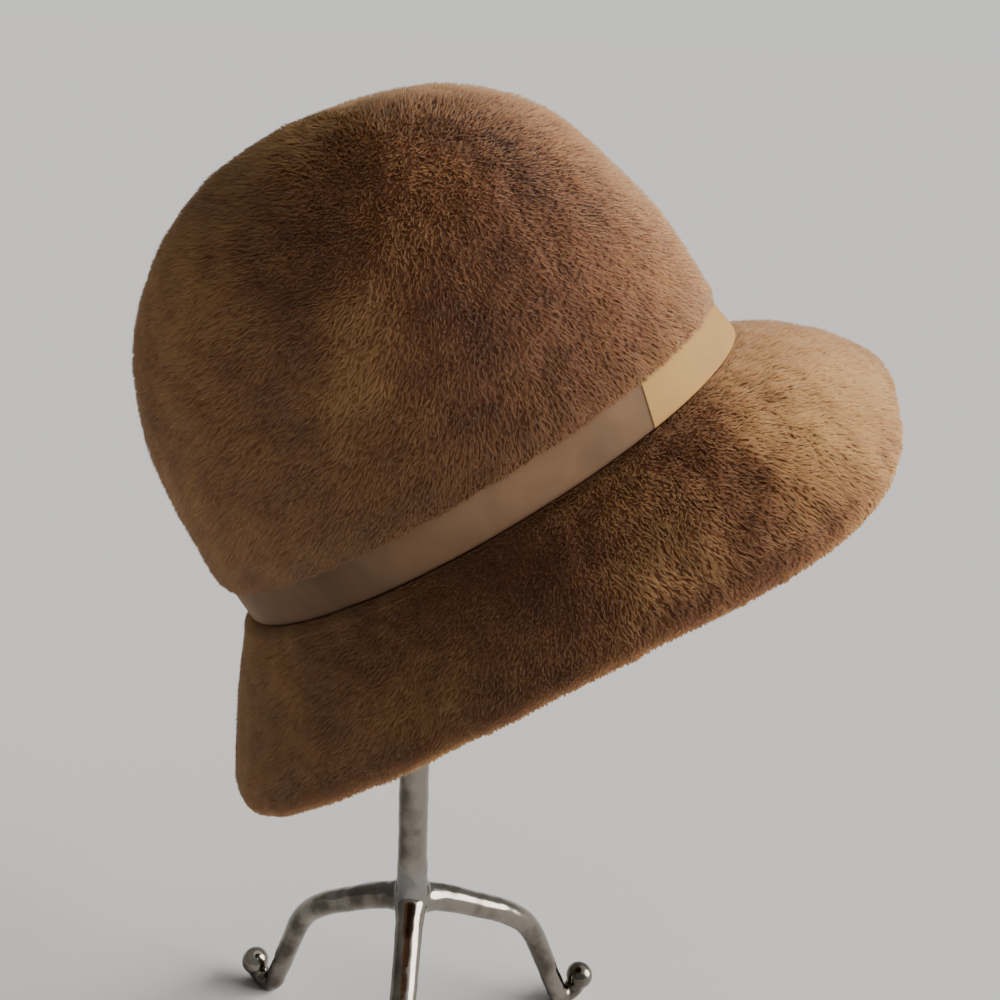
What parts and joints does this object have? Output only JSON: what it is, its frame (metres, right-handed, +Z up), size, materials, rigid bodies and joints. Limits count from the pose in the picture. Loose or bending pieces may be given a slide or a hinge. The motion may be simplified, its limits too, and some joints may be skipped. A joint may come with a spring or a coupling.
{
  "type": "fur bucket hat on a hat stand",
  "caption": "Sheared fur bucket hat with a domed crown, leather band and drooping brim, tipped back on a chrome three-legged hat stand.",
  "frame": {"origin": "on the floor plane under the middle of the whole object's box", "axes": "+Z up along the stand's post, +X towards the front of the hat, +Y to the wearer's left"},
  "size_m": [0.2802, 0.2366, 0.4315],
  "materials": {
    "fur": "short dense plush pile, matte with a soft sheen",
    "band_leather": "smooth tan leather",
    "chrome": "polished plating over slightly uneven cast bar"
  },
  "bodies": {
    "root": {"crown": "fur", "brim": "fur", "band": "band_leather", "stand": "chrome"}
  },
  "joints": []
}
